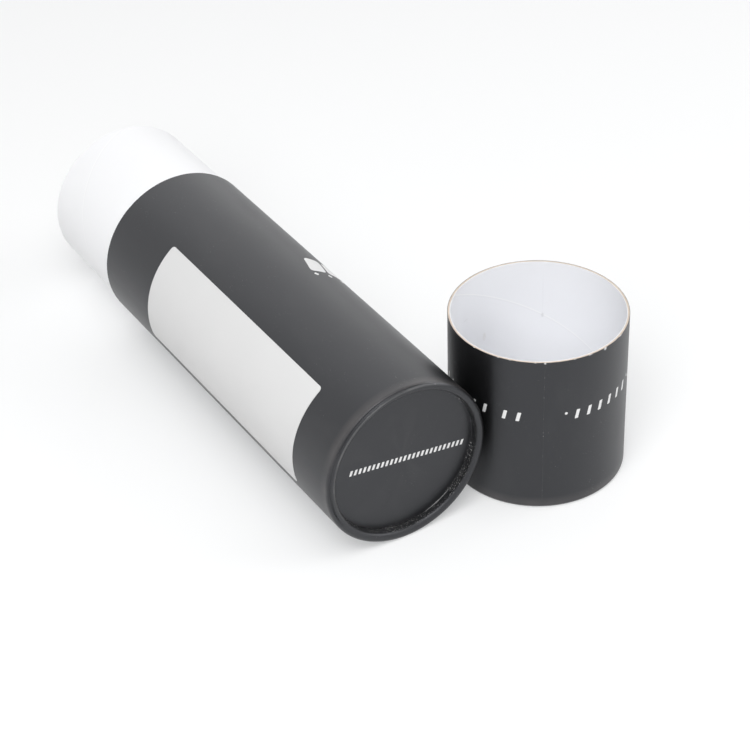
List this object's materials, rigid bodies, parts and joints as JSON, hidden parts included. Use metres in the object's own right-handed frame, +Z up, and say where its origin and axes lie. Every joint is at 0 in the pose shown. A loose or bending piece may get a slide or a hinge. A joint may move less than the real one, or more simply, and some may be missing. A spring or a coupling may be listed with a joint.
{
  "type": "paper tube box",
  "caption": "Round board tube box lying on its side, black outside, with a white neck, a blank side label and its round lid standing beside it.",
  "frame": {"origin": "on the floor, under the middle of the box that holds tube and lid", "axes": "+Z up; +Y along the lying tube, from its rolled closed end to its neck; +X from the tube to the lid"},
  "size_m": [0.1805, 0.3244, 0.09],
  "materials": {
    "black_wrap": "matt laminated black paper",
    "kraft_board": "raw brown kraft board",
    "white_board": "board faced with smooth white paper",
    "black_board": "board faced with matt black paper",
    "label_paper": "matt white label paper",
    "white_lining": "smooth white lining paper"
  },
  "bodies": {
    "tube": {"body_wrap": "black_wrap", "body_core": "kraft_board", "neck_tube": "white_board", "bottom_disc": "black_board", "side_label": "label_paper"},
    "lid": {"lid_wrap": "black_wrap", "lid_core": "kraft_board", "lid_liner": "white_lining", "lid_disc": "black_board"}
  },
  "joints": [
    {"name": "lid_lift", "type": "slide", "parent": "tube", "child": "lid", "axis": [0, 0, 1], "range_m": [0, 0.1]}
  ]
}
